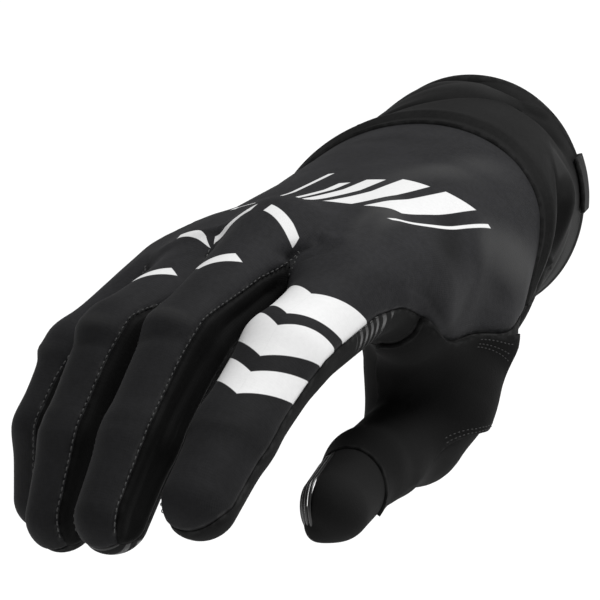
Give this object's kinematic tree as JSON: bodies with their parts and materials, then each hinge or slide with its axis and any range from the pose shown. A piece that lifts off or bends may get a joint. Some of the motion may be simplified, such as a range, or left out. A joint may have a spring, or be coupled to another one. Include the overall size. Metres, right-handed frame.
{
  "type": "motocross glove",
  "caption": "Slip-on stretch-cloth riding glove for the right hand, worn-shaped and hollow, with a suede-like palm, thumb patch, finger side strips, a soft folded cuff and a pull tab.",
  "frame": {"origin": "inside the wrist opening, where the glove sits on the wrist", "axes": "+Y from the hand out of the cuff along the forearm, +Z out of the back of the hand, +X towards the thumb's side"},
  "size_m": [0.1132, 0.2328, 0.0954],
  "materials": {
    "back_cloth": "smooth stretch knit, slight sheen, with white printed motifs",
    "palm_cloth": "matte suede-like cloth",
    "strip_cloth": "fine elastic knit",
    "thumb_cloth": "stretch knit with glossy grip print",
    "patch_cloth": "matte suede-like patch",
    "cuff_cloth": "soft neoprene with a knit face",
    "tab_tape": "woven tape"
  },
  "bodies": {
    "root": {"back_of_index": "back_cloth", "back_of_middle": "back_cloth", "back_of_ring": "back_cloth", "back_of_little": "back_cloth", "palm_of_index": "palm_cloth", "palm_of_middle": "palm_cloth", "palm_of_ring": "palm_cloth", "palm_of_little": "palm_cloth", "back_panel": "back_cloth", "palm_panel": "palm_cloth", "side_strip_index_middle": "strip_cloth", "side_strip_middle_ring": "strip_cloth", "side_strip_ring_little": "strip_cloth", "thumb_sleeve": "thumb_cloth", "thumb_patch": "patch_cloth", "cuff": "cuff_cloth", "pull_tab": "tab_tape"}
  },
  "joints": []
}
